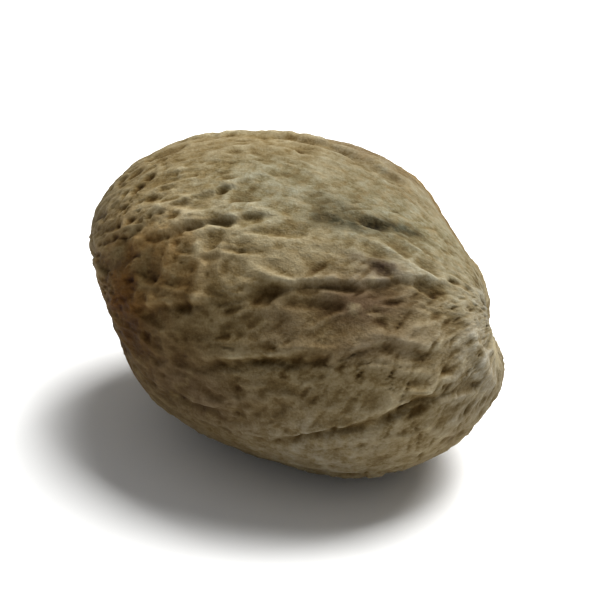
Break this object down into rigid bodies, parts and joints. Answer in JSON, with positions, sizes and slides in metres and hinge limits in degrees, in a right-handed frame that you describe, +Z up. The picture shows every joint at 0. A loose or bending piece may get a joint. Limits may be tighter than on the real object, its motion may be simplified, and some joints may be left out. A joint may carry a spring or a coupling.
{
  "type": "whole nutmeg",
  "caption": "Whole dried nutmeg lying on its side: a wrinkled, pitted brown ovoid seed with a notch and a knob at one end and a small flat foot underneath.",
  "frame": {"origin": "centre of the bounding box in plan, on the surface the nutmeg rests on", "axes": "+X along the long axis towards the notched end, +Y level across the seed, +Z up"},
  "size_m": [0.0294, 0.0218, 0.0186],
  "materials": {
    "seed_skin": "dry matt tan-brown skin, grey-beige on the crests, dark brown in the pits, with a faint chalky bloom"
  },
  "bodies": {
    "root": {"nutmeg": "seed_skin"}
  },
  "joints": []
}
